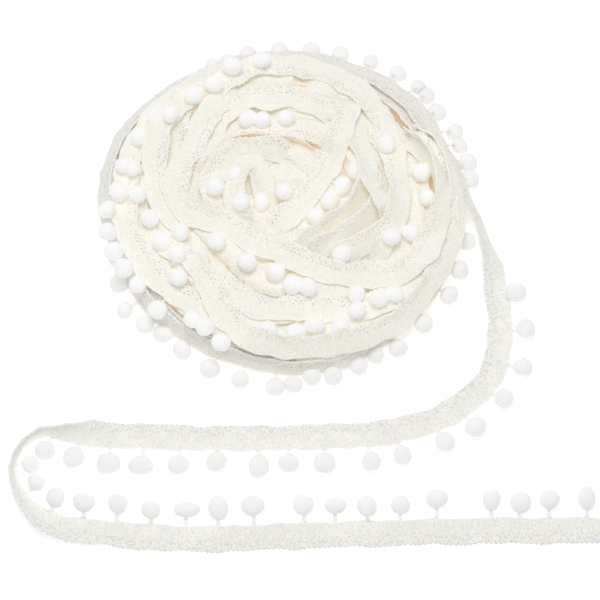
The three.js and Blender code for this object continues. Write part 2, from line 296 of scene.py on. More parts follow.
class Heap:
    """The height of all that is laid so far, on a grid of the table's plan."""

    def __init__(self):
        self.top = np.zeros(GRID_SHAPE)

    def cells(self, x, y, reach):
        """The cells round a place, and how far each is from it."""
        i, j = int(round((x - GRID_LOW[0]) / CELL)), int(round((y - GRID_LOW[1]) / CELL))
        n = int(math.ceil(reach / CELL))
        rows = np.arange(max(i - n, 0), min(i + n + 1, GRID_SHAPE[0]))
        columns = np.arange(max(j - n, 0), min(j + n + 1, GRID_SHAPE[1]))
        dx = rows * CELL + GRID_LOW[0] - x
        dy = columns * CELL + GRID_LOW[1] - y
        return np.ix_(rows, columns), np.hypot(dx[:, None], dy[None, :])

    def height(self, x, y, reach=1.0):
        window, distance = self.cells(x, y, reach)
        return float(np.where(distance <= reach, self.top[window], 0).max())

    def ball_rest(self, x, y, radius):
        """The height of a ball's middle where it rests on the heap."""
        window, distance = self.cells(x, y, radius)
        rise = np.sqrt(np.maximum(radius**2 - distance**2, 0))
        return float(np.where(distance < radius, self.top[window] + rise, radius).max())

    def add_ball(self, x, y, z, radius):
        window, distance = self.cells(x, y, radius)
        rise = np.sqrt(np.maximum(radius**2 - distance**2, 0))
        here = self.top[window]
        self.top[window] = np.where(distance < radius, np.maximum(here, z + rise), here)

    def add_tape(self, near, far):
        for share in np.linspace(0, 1, POINTS_ACROSS):
            points = near + (far - near) * share
            ij = np.round((points[:, :2] - GRID_LOW) / CELL).astype(int)
            ij = np.clip(ij, 0, np.array(GRID_SHAPE) - 1)
            np.maximum.at(self.top, (ij[:, 0], ij[:, 1]), points[:, 2] + TAPE_THICKNESS / 2)


def curve_through(rows, step):
    """Points about every step along the centripetal Catmull-Rom curve through the rows' x and y, with
    the other columns carried evenly between rows, and each point's distance along the curve."""
    rows = np.asarray(rows, float)
    ends = np.vstack([2 * rows[0] - rows[1], rows, 2 * rows[-1] - rows[-2]])
    pieces = []
    for a, b, c, d in zip(ends, ends[1:], ends[2:], ends[3:]):
        t = np.linspace(0, 1, ROW_POINTS, endpoint=False)[:, None]
        ab, bc, cd = (math.sqrt(max(np.hypot(*(q - p)[:2]), 1e-6))
                      for p, q in ((a, b), (b, c), (c, d)))
        leaving = ((b - a) / ab - (c - a) / (ab + bc) + (c - b) / bc) * bc
        arriving = ((c - b) / bc - (d - b) / (bc + cd) + (d - c) / cd) * bc
        curve = (b + leaving * t + (3 * (c - b) - 2 * leaving - arriving) * t**2
                 + (2 * (b - c) + leaving + arriving) * t**3)
        curve[:, 2:] = (b + (c - b) * t)[:, 2:]
        pieces.append(curve)
    curve = np.vstack(pieces + [rows[-1:]])
    along = np.concatenate([[0], np.cumsum(np.hypot(*np.diff(curve[:, :2], axis=0).T))])
    stations = np.linspace(0, along[-1], int(round(along[-1] / step)) + 1)
    return np.column_stack([np.interp(stations, along, column) for column in curve.T]), stations


def to_the_side(points, side):
    """The level direction from a route towards its pompoms."""
    tangent = np.gradient(points[:, :2], axis=0)
    tangent /= np.linalg.norm(tangent, axis=1)[:, None]
    return side * np.column_stack([-tangent[:, 1], tangent[:, 0]])


def spanning(heights, reach, width):
    """A tape's height over what it rests on: the highest within reach, then smoothed over width."""
    n = int(round(reach / STEP))
    padded = np.pad(heights, n, mode="edge")
    highest = np.max([padded[i:i + len(heights)] for i in range(2 * n + 1)], axis=0)
    m = int(round(3 * width / STEP))
    kernel = np.exp(-0.5 * (np.arange(-m, m + 1) * STEP / width) ** 2)
    return np.convolve(np.pad(highest, m, mode="edge"), kernel / kernel.sum(), mode="valid")


def same_in_sight(points, height, new_height):
    """Moves places laid out at one height to another, along the line of sight."""
    share = (EYE[2] - new_height) / (EYE[2] - height)
    return EYE[:2] + (points - EYE[:2]) * np.asarray(share)[:, None]


class Strip:
    """A length of tape: its pompom edge and its far edge, and which way its pompoms lie."""

    def __init__(self, near, far, stations, outward):
        self.near, self.far, self.stations, self.outward = near, far, stations, outward

    def at(self, distance):
        edge = np.array([np.interp(distance, self.stations, self.near[:, k]) for k in range(3)])
        way = np.array([np.interp(distance, self.stations, self.outward[:, k]) for k in range(2)])
        return edge, way / np.linalg.norm(way)


def drape(heap, route, side, height=None, first_tuck=TUCK):
    """Lays a tape along the route of its middle, flat or standing on its pompom edge, on all that is
    there. A turn laid out at a height keeps its place in sight, and has its ends tucked in."""
    laid_out, stations = curve_through(route, STEP)
    stand = np.radians(laid_out[:, 2])
    laid_out = laid_out[:, :2]
    middle = laid_out
    for _ in range(1 if height is None else SETTLING):
        outward = to_the_side(middle, side)
        half = TAPE_WIDTH / 2 * np.cos(stand)
        under = np.array([[heap.height(*(p + n * w * share)) for share in FELT]
                          for p, n, w in zip(middle, outward, half)])
        lying = (stand < STEEP)[:, None]
        under = np.where(lying, under, np.minimum(under, under[:, 4:]))
        if height is not None:
            highest = (height - TAPE_WIDTH / 2 * np.sin(stand) + LIFT)[:, None]
            under = np.where(lying, under, np.minimum(under, highest))
        far_z = spanning(under[:, :2].max(axis=1), *EDGE_SPAN) + TAPE_THICKNESS
        near_z = spanning(under[:, 3:].max(axis=1), *EDGE_SPAN) + TAPE_THICKNESS
        middle_z = spanning(under[:, 2], *MIDDLE_SPAN) + TAPE_THICKNESS
        far_z = np.maximum(far_z, near_z - DROP * np.cos(stand))
        near_z = np.maximum(near_z, far_z - DROP - STANDING_DROP * np.sin(stand))
        far_z = np.maximum(far_z, near_z + TAPE_WIDTH * np.sin(stand))
        short = np.maximum(middle_z - (far_z + near_z) / 2, 0) * np.cos(stand)
        far_z, near_z = far_z + short, near_z + short
        if height is not None:
            middle = same_in_sight(laid_out, height, (far_z + near_z) / 2)
    rise = np.minimum(np.abs(near_z - far_z), MOST_RISE)
    half = np.sqrt(TAPE_WIDTH**2 - rise**2)[:, None] / 2
    if height is not None:
        tuck = 0
        for (depth, length), distance in ((first_tuck, stations), (TUCK, stations[-1] - stations)):
            share = np.clip(distance / length, 0, 1)
            tuck = tuck + depth * (1 - share * share * (3 - 2 * share))
        near_z, far_z = np.maximum(near_z - tuck, 1), np.maximum(far_z - tuck, 1)
    near = np.column_stack([middle + outward * half, near_z])
    far = np.column_stack([middle - outward * half, far_z])
    heap.add_tape(near, far)
    return Strip(near, far, stations, outward)


def stand_up(heap, rows, side, step=STEP):
    """A tape laid by its pompom edge (x, y, height, lean), on the heap if there is one."""
    places, stations = curve_through(rows, step)
    outward = to_the_side(places, side)
    lean = np.radians(places[:, 3:4])
    near = places[:, :3]
    far = near + TAPE_WIDTH * np.hstack([-outward * np.cos(lean), np.sin(lean)])
    if heap:
        heap.add_tape(near, far)
    return Strip(near, far, stations, outward)


rng = np.random.default_rng(17)


class Pompom:
    """A pompom and where it is tied. Its shape is its size along the tape's edge, up, and away from the
    edge, as shares of a round one's."""

    def __init__(self, centre, radius, tied_at, shape=None):
        self.centre, self.radius, self.tied_at = np.asarray(centre, float), radius, tied_at
        self.shape = shape or tuple(rng.uniform(low, high)
                                    for low, high in ((0.95, 1.1), (0.85, 1.02), (0.88, 1.05)))


def tie_pompoms(heap, strip, distances, reach=(4.6, 6.2), drop=6.0, pressed=0.9):
    """Pompoms along a strip, each at rest beside the edge or hanging by its threads. pressed is the
    share of a pompom's radius that doesn't sink into the heap."""
    tied = []
    for distance in distances:
        edge, way = strip.at(distance)
        radius = POMPOM_RADIUS * rng.uniform(0.93, 1.04)
        x, y = edge[:2] + way * rng.uniform(*reach)
        z = heap.ball_rest(x, y, radius * pressed)
        z = min(max(z, edge[2] - drop, radius), edge[2] + PERCH)
        heap.add_ball(x, y, z, radius * FIRM)
        tied.append(Pompom((x, y, z), radius, edge))
    return tied


def place_pompoms(heap, strip, places, height=None, sink=0.2, pressed=0.85):
    """Pompoms at these places: at rest on the table, a little sunk, or, laid out at a height, at rest
    on the heap along the line of sight. Each is tied to the nearest place on the strip's edge."""
    tied = []
    for place in places:
        radius = POMPOM_RADIUS * rng.uniform(0.87, 0.99)
        x, y, z = *place, radius - sink
        if height is not None:
            z = height
            for _ in range(SETTLING):
                x, y = same_in_sight(np.array([place]), height, np.array([z]))[0]
                z = heap.ball_rest(x, y, radius * pressed)
        nearest = strip.near[np.argmin(np.hypot(strip.near[:, 0] - x, strip.near[:, 1] - y))]
        if height is not None:
            z = min(max(z, nearest[2] - HANG), nearest[2] + PERCH)
        away = np.array([x, y]) - nearest[:2]
        distance = max(np.hypot(*away), 1e-3)
        x, y = nearest[:2] + away / distance * min(max(distance, NEAREST if height else 0), FURTHEST)
        heap.add_ball(x, y, z, radius * FIRM)
        tied.append(Pompom((x, y, z), radius, nearest))
    return tied


def ring(radius, wobble, phase, lie=LYING, start=0, end=360):
    """A turn round the coil's middle, closed unless it has a start and an end. lie is what its rows say
    after their place."""
    closed = end - start == 360
    angles = np.radians(np.arange(start, end + 1, 12) + (phase if closed else 0))
    radii = radius + wobble * (np.sin(3 * angles + phase) + 0.6 * np.sin(5 * angles + 2 * phase))
    return [(COIL_CENTRE[0] + r * math.cos(a), COIL_CENTRE[1] + 0.98 * r * math.sin(a), *lie)
            for r, a in zip(radii, angles)]


def covered(cover, pompom, aside=4, highest=21, reach=0.8):
    """Whether tape no higher than highest over a pompom hides it from the eye: its middle and the
    places that lie aside from that on four sides."""
    sight = EYE - pompom.centre
    sight /= sight[2]
    for dx, dy in ((0, 0), (aside, 0), (-aside, 0), (0, aside), (0, -aside)):
        start = pompom.centre + np.array([dx, dy, 0])
        points = [start + sight * rise for rise in range(1, highest + 1)]
        if not any(cover.height(p[0], p[1], reach) > p[2] for p in points):
            return False
    return True


heap = Heap()
hidden_strips, hidden_pompoms, flat_strips, rim_strips = [], [], [], []
for radius in BOTTOM_RADII:
    hidden_strips.append(drape(heap, ring(radius, 1, radius), LEFT))
for count, radius in enumerate(STANDING_RADII):
    strip = stand_up(heap, ring(radius, 0.6, 37 * count, STANDING), RIGHT)
    (rim_strips if radius == RIM_RADIUS else hidden_strips).append(strip)
    hidden_pompoms += tie_pompoms(heap, strip, np.arange(5, strip.stations[-1] - 5, POMPOM_PITCH))

outer_strip = stand_up(heap, OUTER_ROUTE, LEFT)
outer_pompoms = place_pompoms(heap, outer_strip, OUTER_POMPOMS)

for start, end, inwards, lower, lean in SECOND_TURNS:
    beside = (outer_strip.stations > start) & (outer_strip.stations < end)
    outward = np.pad(outer_strip.outward[beside], ((0, 0), (0, 1)))
    inside = outer_strip.near[beside] - outward * inwards
    rows = [(x, y, max(z - lower, STANDING[0]), lean) for x, y, z in inside[::6]]
    rim_strips.append(stand_up(heap, rows, LEFT))

for radius in LYING_RADII:
    flat_strips.append(drape(heap, ring(radius, 1.5, radius), LEFT))
flat_strips.append(drape(heap, ring(PART_TURN_RADIUS, 1.5, PART_TURN_RADIUS, LYING, *PART_TURN), LEFT))
for count, radius in enumerate(FLAT_RADII):
    rows = ring(radius, min(3, radius / 8), 53 * count)
    flat_strips.append(drape(heap, rows, RIGHT if count % 2 else LEFT))

turn_strips, turn_pompoms = [], []
for turn in TURNS:
    first_tuck = turn.get("first_tuck", TUCK)
    strip = drape(heap, turn["route"], turn["side"], turn["height"], first_tuck)
    turn_strips.append(strip)
    turn_pompoms += place_pompoms(heap, strip, turn["pompoms"], turn["height"] - 3)

# The painted warm light in the slit behind the heart.
hidden_strips.append(stand_up(None, HEART_GLOW_STRIP, LEFT))

cover = Heap()
for strip in turn_strips:
    cover.add_tape(strip.near, strip.far)
hidden_pompoms = [p for p in hidden_pompoms if covered(cover, p)]

loose_rows = [(x, y, TAPE_THICKNESS / 2 + 0.2, lean) for x, y, lean in LOOSE_ROUTE]
loose_strip = stand_up(None, loose_rows, LEFT, step=0.6)
loose_pompoms = []
distance = 0
for gap, reach, along, away in LOOSE_POMPOMS:
    distance += gap
    edge, way = loose_strip.at(distance)
    place = [*(edge[:2] + way * reach), POMPOM_RADIUS]
    shape = (along / (2 * POMPOM_RADIUS), 0.97, away / (2 * POMPOM_RADIUS))
    loose_pompoms.append(Pompom(place, POMPOM_RADIUS, edge, shape))

# ---------------------------------------------------------------- meshes


def add_mesh(name, vertices, faces, uvs=None, smooth=True):
    mesh = bpy.data.meshes.new(name)
    mesh.from_pydata([tuple(v) for v in to_frame(vertices)], [], faces)
    if uvs is not None:
        layer = mesh.uv_layers.new(name="weave")
        corners = np.empty(len(mesh.loops), int)
        mesh.loops.foreach_get("vertex_index", corners)
        layer.data.foreach_set("uv", np.asarray(uvs, float)[corners].ravel())
    mesh.polygons.foreach_set("use_smooth", [smooth] * len(mesh.polygons))
    mesh.update()
    piece = bpy.data.objects.new(name, mesh)
    bpy.context.scene.collection.objects.link(piece)
    return piece


def finer(strip, step):
    """The strip's edges at closer stations, on a smooth curve."""
    wanted = np.linspace(0, strip.stations[-1], int(round(strip.stations[-1] / step)) + 1)
    place = wanted / (strip.stations[1] - strip.stations[0])
    i = np.clip(place.astype(int), 0, len(strip.stations) - 2)
    t = (place - i)[:, None]

    def between(values):
        padded = np.vstack([2 * values[0] - values[1], values, 2 * values[-1] - values[-2]])
        a, b, c, d = (padded[i + k] for k in range(4))
        return 0.5 * (2 * b + (c - a) * t + (2 * a - 5 * b + 4 * c - d) * t**2
                      + (3 * b - a - 3 * c + d) * t**3)

    return Strip(between(strip.near), between(strip.far), wanted, between(strip.outward))


# The columns of a tape's mesh, as shares of its width from the pompom edge. The narrow ones near the
# far edge hold the eyelets. The open side starts at OPEN_FROM.
OPEN_FROM = 0.62
PLAIN_COLUMNS = [0, 0.04, 0.11, 0.18, 0.25, 0.32, 0.39, 0.46, 0.53, 0.6]
OPEN_COLUMNS = [0.645, 0.69, 0.76, 0.805, 0.875, 0.92, 1]
EYELETS = [10, 12, 14]
COARSE_COLUMNS = [0, 0.3, 0.65, 1]
RIB_HEIGHT = 0.04
# How far the far edge's loops stand out, and how far the notches between them are cut in.
LOOP, NOTCH = 0.35, 0.1
# The length between one strip's waves and the next one's, so that no two strips wave alike.
WAVE_SHIFT = 97


def weave_tape(strips, name, step=0.6, eyelets=0.85, wave=1.0):
    """Closed tape of these strips: ribs across it, eyelets in rows along its far side, and a looped far
    edge. eyelets is the share of them that is open: with 0 the tape is plain and coarse. wave is how
    wavy its edges are. Its UV map holds the distance along it and the share of its width, from the
    pompom edge."""
    vertices, faces, uvs = [], [], []
    shares = PLAIN_COLUMNS + OPEN_COLUMNS if eyelets else COARSE_COLUMNS
    chance = np.random.default_rng(len(name))
    start = 0.0
    for order, strip in enumerate(strips):
        fine = finer(strip, step)
        count = len(fine.stations)
        station = np.arange(count)
        across = fine.far - fine.near
        width = np.linalg.norm(across, axis=1)[:, None]
        across = across / width
        along = np.gradient((fine.near + fine.far) / 2, axis=0)
        along /= np.linalg.norm(along, axis=1)[:, None]
        through = np.cross(along, across)
        through *= np.sign(through[:, 2:3] + 1e-9)
        s = fine.stations + WAVE_SHIFT * order
        near_wave = wave * (0.28 * np.sin(s / 5.3) + 0.22 * np.sin(s / 2.9 + 1)
                            + 0.15 * np.sin(s / 1.7 + 2))
        far_wave = wave * (0.35 * np.sin(s / 6.1 + 2) + 0.25 * np.sin(s / 3.1)
                           + 0.15 * np.sin(s / 1.9))
        loops = np.where(station % 4 < 2, LOOP, -NOTCH)
        cup = wave * (0.25 * np.sin(s / 11) + 0.2 * np.sin(s / 4.7 + 1))
        base = len(vertices)
        for share in shares:
            reach = width[:, 0] * share + near_wave * (1 - share) ** 2 + far_wave * share**2
            if share == 1:
                reach = reach + loops
            rib = RIB_HEIGHT * np.where(station % 2 == 0, 1, -1) * (0.5 if share > OPEN_FROM else 1)
            bow = cup * math.sin(math.pi * share)
            lift = rib + bow + 0.12 * np.sin(s / 3.3 + 6 * share) + 0.1 * np.sin(s / 1.9 + 9 * share)
            vertices.extend(fine.near + across * reach[:, None] + through * lift[:, None])
            uvs.extend(np.column_stack([start + fine.stations, np.full(count, share)]))
        grid = base + np.arange(len(shares) * count).reshape(len(shares), count)
        for column in range(len(shares) - 1):
            row = EYELETS.index(column) if eyelets and column in EYELETS else None
            for k in range(count - 1):
                if row is not None and 2 < k < count - 4 and (k + 2 * row) % 4 == 0:
                    if chance.random() < eyelets:
                        continue
                near_side, far_side = grid[column, k:k + 2], grid[column + 1, k:k + 2][::-1]
                faces.append(tuple(int(v) for v in (*near_side, *far_side)))
        start += fine.stations[-1]
    vertices = np.array(vertices)
    vertices[:, 2] = np.maximum(vertices[:, 2], TAPE_THICKNESS / 2)
    piece = add_mesh(name, vertices, faces, np.array(uvs) * [MM, 1])
    thick = piece.modifiers.new("Thickness", "SOLIDIFY")
    thick.thickness = TAPE_THICKNESS * MM
    thick.offset = 0
    select_only(piece)
    bpy.ops.object.modifier_apply(modifier="Thickness")
    return piece


def select_only(piece):
    bpy.ops.object.select_all(action="DESELECT")
    piece.select_set(True)
    bpy.context.view_layer.objects.active = piece


def model_pompom(cuts, seed, lumps, pile):
    """A trimmed ball of yarn of radius 1: its vertices and faces. lumps is how far the trimming is from
    round, and pile how far tufts of yarn stand proud. Both are waves that run every way over it."""
    bpy.ops.object.select_all(action="DESELECT")
    bpy.ops.mesh.primitive_cube_add(size=2)
    ball = bpy.context.object
    bpy.ops.object.mode_set(mode="EDIT")
    bpy.ops.mesh.select_all(action="SELECT")
    bpy.ops.mesh.subdivide(number_cuts=cuts)
    bpy.ops.transform.tosphere(value=1)
    bpy.ops.object.mode_set(mode="OBJECT")
    points = np.array([v.co for v in ball.data.vertices])
    points /= np.linalg.norm(points, axis=1)[:, None]
    shaper = np.random.default_rng(seed)
    swell = np.zeros(len(points))
    for waves, amount in ((1.6, lumps), (3.1, lumps * 0.5), (11, pile), (19, pile)):
        for _ in range(5):
            way = shaper.normal(size=3)
            way *= waves / np.linalg.norm(way)
            swell += amount * 0.5 * np.sin(points @ way + shaper.uniform(0, 6.3))
    points *= (1 + swell)[:, None]
    faces = [tuple(p.vertices) for p in ball.data.polygons]
    bpy.data.objects.remove(ball)
    return points, faces


def spun(points, angle):
    """A ball's points turned about its tying axis."""
    return points @ np.array(Matrix.Rotation(angle, 3, "Z")).T


def thread(start, end, sides, bow):
    """A short tube of yarn between two points: its vertices and faces."""
    start, end = np.asarray(start, float), np.asarray(end, float)
    way = end - start
    way /= np.linalg.norm(way)
    aside = np.cross(way, [0, 0, 1.0])
    aside /= np.linalg.norm(aside)
    above = np.cross(aside, way)
    vertices, faces = [], []
    angles = np.arange(sides) * 2 * math.pi / sides
    for k, share in enumerate((0, 0.5, 1)):
        middle = start + (end - start) * share + above * bow * math.sin(math.pi * share)
        for a in angles:
            vertices.append(middle + THREAD_RADIUS * (math.cos(a) * aside + math.sin(a) * above))
    for k in range(2):
        for j in range(sides):
            m = (j + 1) % sides
            faces.append((k * sides + j, k * sides + m, (k + 1) * sides + m, (k + 1) * sides + j))
    faces.append(tuple(reversed(range(sides))))
    faces.append(tuple(range(2 * sides, 3 * sides)))
    return vertices, faces


def make_pompoms(name, pompoms, forms, threads=2, sides=5, taper_range=(0.0, 0.12), longest=7.5):
    """The pompoms and their tying threads as one piece. The threads of a pompom that lies further than
    longest from its place on the tape are left out, and so are those of one that lies against it."""
    vertices, faces = [], []

    def add(more_vertices, more_faces):
        base = len(vertices)
        vertices.extend(more_vertices)
        faces.extend(tuple(base + v for v in face) for face in more_faces)

    for pompom in pompoms:
        points, ball_faces = forms[rng.integers(len(forms))]
        axis = pompom.tied_at - pompom.centre
        distance = np.linalg.norm(axis)
        axis = axis / max(distance, 1e-6)
        aside = np.cross(axis, [0, 0, 1.0])
        aside /= max(np.linalg.norm(aside), 1e-6)
        taper = 1 - rng.uniform(*taper_range) * points[:, 2:]
        shaped = points * np.hstack([taper, taper, np.ones_like(taper)])
        shaped = spun(shaped, rng.uniform(0, 6.3)) * pompom.radius * np.array(pompom.shape)
        frame_of_axes = np.array([aside, np.cross(axis, aside), axis])
        add(pompom.centre + shaped @ frame_of_axes, ball_faces)
        if 2 < distance < longest:
            for k in range(threads):
                shift = aside * (k - (threads - 1) / 2) * THREAD_SPACING
                start = pompom.tied_at + shift * 1.4 + axis * 0.7
                end = pompom.centre + axis * pompom.radius * 0.7 + shift
                add(*thread(start, end, sides, rng.uniform(-0.2, 0.3)))
    vertices = np.array(vertices)
    vertices[:, 2] = np.maximum(vertices[:, 2], 0)
    return add_mesh(name, vertices, faces)

# ---------------------------------------------------------------- materials


def srgb(hex_colour):
    """An sRGB hex value as linear red, green, blue and alpha."""
    channels = [int(hex_colour[i:i + 2], 16) / 255 for i in (1, 3, 5)]
    return tuple(c / 12.92 if c <= 0.04045 else ((c + 0.055) / 1.055) ** 2.4 for c in channels) + (1.0,)


def add_node(tree, kind, settings=None, inputs=None):
    """A shader node with its settings, and its inputs set to values or linked to outputs."""
    node = tree.nodes.new(kind)
    for key, value in (settings or {}).items():
        setattr(node, key, value)
    for key, value in (inputs or {}).items():
        if isinstance(value, bpy.types.NodeSocket):
            tree.links.new(value, node.inputs[key])
        else:
            node.inputs[key].default_value = value
    return node


def new_material(name):
    material = bpy.data.materials.new(name)
    material.use_nodes = True
    tree = material.node_tree
    tree.nodes.clear()
    return material, tree


def finish_material(tree, shader):
    add_node(tree, "ShaderNodeOutputMaterial", inputs={"Surface": shader.outputs[0]})


def two_tones(tree, pattern, *tones):
    """A pattern's colour, between two tones: where in the pattern each is pure, and its hex value."""
    ramp = add_node(tree, "ShaderNodeValToRGB", inputs={0: pattern.outputs[0]})
    for element, (position, hex_colour) in zip(ramp.color_ramp.elements, tones):
        element.position = position
        element.color = srgb(hex_colour)
    return ramp


# Real sizes that the patterns are drawn to. The ribs, 1.2 mm apart, are at twice the pitch of the real
# weft so that they show. The other patterns' scales are in spots a metre: slubs 0.9 mm wide and a third
# of the tape's width long, clouds 17 mm, knots of yarn 1.1 mm, cut ends of pile 0.7 mm and tufts 2.4 mm
# across. Each selvedge is a twentieth of the tape's width, 0.6 mm.
RIB_PITCH = 0.0012
SLUB_SCALE = 1100.0
SLUBS_ACROSS = 3.0
CLOUD_SCALE = 60.0
KNOT_SCALE = 900.0
NAP_SCALE = 1400.0
TUFT_SCALE = 420.0
SELVEDGE = 0.05


def woven_cotton_tape(name, groove, face, knot=1.6, painted_glow=("#FFFFFF", 0.0)):
    """Undyed cotton tape, woven with a rib across it: matt cream, with a soft edge to every rib. knot is
    how dark the hollows between its knots are. painted_glow is the colour and strength of a painted
    glow:
    emission that stands in for the light soaking through the turns above it, though the tape is no lamp."""
    material, tree = new_material(name)
    weave = add_node(tree, "ShaderNodeUVMap", {"uv_map": "weave"})
    place = add_node(tree, "ShaderNodeSeparateXYZ", inputs={0: weave.outputs[0]})
    here = add_node(tree, "ShaderNodeTexCoord")
    phase = add_node(tree, "ShaderNodeMath", {"operation": "MULTIPLY"},
                     {0: place.outputs[0], 1: 2 * math.pi / RIB_PITCH})
    rib = add_node(tree, "ShaderNodeMath", {"operation": "SINE"}, {0: phase.outputs[0]})
    stretched = add_node(tree, "ShaderNodeMapping",
                         inputs={"Vector": weave.outputs[0],
                                 "Scale": (SLUB_SCALE, SLUBS_ACROSS, 1.0)})
    slub = add_node(tree, "ShaderNodeTexNoise",
                    inputs={"Vector": stretched.outputs[0], "Scale": 1.0, "Detail": 3.0})
    cloud = add_node(tree, "ShaderNodeTexNoise",
                     inputs={"Vector": here.outputs["Object"], "Scale": CLOUD_SCALE, "Detail": 2.0})
    # Loose knots of yarn and the shadows between them, deeper on the open side.
    knots = add_node(tree, "ShaderNodeTexNoise",
                     inputs={"Vector": here.outputs["Object"], "Scale": KNOT_SCALE, "Detail": 1.0})
    hollow = add_node(tree, "ShaderNodeMath", {"operation": "SUBTRACT"},
                      {0: knots.outputs[0], 1: 0.47})
    hollow = add_node(tree, "ShaderNodeMath", {"operation": "MINIMUM"},
                      {0: hollow.outputs[0], 1: 0.0})
    open_side = add_node(tree, "ShaderNodeMath", {"operation": "GREATER_THAN"},
                         {0: place.outputs[1], 1: OPEN_FROM})
    depth = add_node(tree, "ShaderNodeMath", {"operation": "MULTIPLY_ADD"},
                     {0: open_side.outputs[0], 1: 2 * knot, 2: knot})
    shade = add_node(tree, "ShaderNodeMath", {"operation": "MULTIPLY_ADD"},
                     {0: rib.outputs[0], 1: 0.05, 2: 0.5})
    shade = add_node(tree, "ShaderNodeMath", {"operation": "MULTIPLY_ADD"},
                     {0: hollow.outputs[0], 1: depth.outputs[0], 2: shade.outputs[0]})
    grain = add_node(tree, "ShaderNodeMath", {"operation": "MULTIPLY_ADD"},
                     {0: slub.outputs[0], 1: 0.9, 2: -0.45})
    mixed = add_node(tree, "ShaderNodeMath", {"operation": "ADD"},
                     {0: shade.outputs[0], 1: grain.outputs[0]})
    mixed = add_node(tree, "ShaderNodeMath", {"operation": "MULTIPLY_ADD"},
                     {0: cloud.outputs[0], 1: 0.5, 2: mixed.outputs[0]})
    # The selvedges are drawn paler: a painted highlight, the light that their edges catch.
    off_middle = add_node(tree, "ShaderNodeMath", {"operation": "SUBTRACT"},
                          {0: place.outputs[1], 1: 0.5})
    off_middle = add_node(tree, "ShaderNodeMath", {"operation": "ABSOLUTE"},
                          {0: off_middle.outputs[0]})
    selvedge_highlight = add_node(tree, "ShaderNodeMath", {"operation": "GREATER_THAN"},
                        {0: off_middle.outputs[0], 1: 0.5 - SELVEDGE})
    tone = add_node(tree, "ShaderNodeMath", {"operation": "MULTIPLY_ADD"},
                    {0: selvedge_highlight.outputs[0], 1: 0.6, 2: mixed.outputs[0]})
    colour = two_tones(tree, tone, (0.25, groove), (1.0, face))
    bump = add_node(tree, "ShaderNodeBump",
                    inputs={"Strength": 0.5, "Distance": 0.0002, "Height": tone.outputs[0]})
    # The emission is painted light: a glow, though the tape is no lamp.
    shader = add_node(tree, "ShaderNodeBsdfPrincipled", inputs={
        "Base Color": colour.outputs[0], "Roughness": 0.9, "Specular IOR Level": 0.2,
        "Subsurface Weight": 0.4, "Subsurface Radius": (1.0, 0.7, 0.45), "Subsurface Scale": 0.001,
        "Sheen Weight": 0.15, "Sheen Roughness": 0.6, "Normal": bump.outputs[0],
        "Emission Color": srgb(painted_glow[0]), "Emission Strength": painted_glow[1]})
    finish_material(tree, shader)
    return material


def trimmed_yarn_pile(name, painted_glow):
    """Fine acrylic yarn, bunched and trimmed to a ball: cool matt white with a faint nap of cut ends.
    painted_glow is the strength of a painted glow: emission that stands in for light soaking through it,
    though it is no lamp."""
    material, tree = new_material(name)
    here = add_node(tree, "ShaderNodeTexCoord")
    nap = add_node(tree, "ShaderNodeTexNoise",
                   inputs={"Vector": here.outputs["Object"], "Scale": NAP_SCALE, "Detail": 3.0})
    tuft = add_node(tree, "ShaderNodeTexNoise",
                    inputs={"Vector": here.outputs["Object"], "Scale": TUFT_SCALE, "Detail": 2.0})
    height = add_node(tree, "ShaderNodeMath", {"operation": "MULTIPLY_ADD"},
                      {0: tuft.outputs[0], 1: 1.2, 2: nap.outputs[0]})
    colour = two_tones(tree, nap, (0.3, "#F9F8F6"), (0.7, "#FFFEFC"))
    bump = add_node(tree, "ShaderNodeBump",
                    inputs={"Strength": 0.35, "Distance": 0.0003, "Height": height.outputs[0]})
    # The emission is painted light: a glow, though the pompom is no lamp.
    shader = add_node(tree, "ShaderNodeBsdfPrincipled", inputs={
        "Base Color": colour.outputs[0], "Roughness": 0.95, "Specular IOR Level": 0.15,
        "Subsurface Weight": 0.8, "Subsurface Radius": (1.0, 1.0, 1.0), "Subsurface Scale": 0.004,
        "Sheen Weight": 0.3, "Sheen Roughness": 0.5, "Normal": bump.outputs[0],
        "Emission Color": srgb("#FFFFFF"), "Emission Strength": painted_glow})
    finish_material(tree, shader)
    return material


def lit_acrylic_table():
    """A sheet of opal acrylic lit from below: white, with shadows almost gone."""
    material, tree = new_material("lit_acrylic_table")
    here = add_node(tree, "ShaderNodeTexCoord")
    haze = add_node(tree, "ShaderNodeTexNoise",
                    inputs={"Vector": here.outputs["Object"], "Scale": 3.0})
    colour = two_tones(tree, haze, (0.0, "#F4F4F4"), (1.0, "#FAFAFA"))
    shader = add_node(tree, "ShaderNodeBsdfPrincipled", inputs={
        "Base Color": colour.outputs[0], "Roughness": 0.7, "Specular IOR Level": 0.0,
        "Emission Color": (1, 1, 1, 1), "Emission Strength": 0.4})
    finish_material(tree, shader)
    return material


tape_cloth = woven_cotton_tape("woven_cotton_tape", "#DEDED5", "#FBFBF7", knot=3.4)
# A shaded copy of the tape for the turns standing on edge at the rim: its darker, greyer tones and
# deeper hollows are painted shade.
outer_cloth_painted_shade = woven_cotton_tape("woven_cotton_tape_on_edge_painted_shade", "#D8D5C8", "#F8F6EE", knot=3.6)
# A lit copy of the tape for the coil: its paler, warmer tones, shallower hollows and warm glow are
# painted light, bringing the coil up to the free end's brightness.
coil_cloth_painted_light = woven_cotton_tape("woven_cotton_tape_in_the_coil_painted_light", "#E9E5D3", "#FDFCF4", knot=2.6,
                               painted_glow=("#FFDDA4", 0.045))
# The turns at the bottom of the heap get a peach copy of the tape with a stronger warm glow: painted
# warm light, standing in for the light that soaks through the turns above them.
inner_cloth_painted_glow = woven_cotton_tape("woven_cotton_tape_in_the_heap_painted_glow", "#F2D9BE", "#FAE9D6",
                                painted_glow=("#FFDEAC", 0.13))
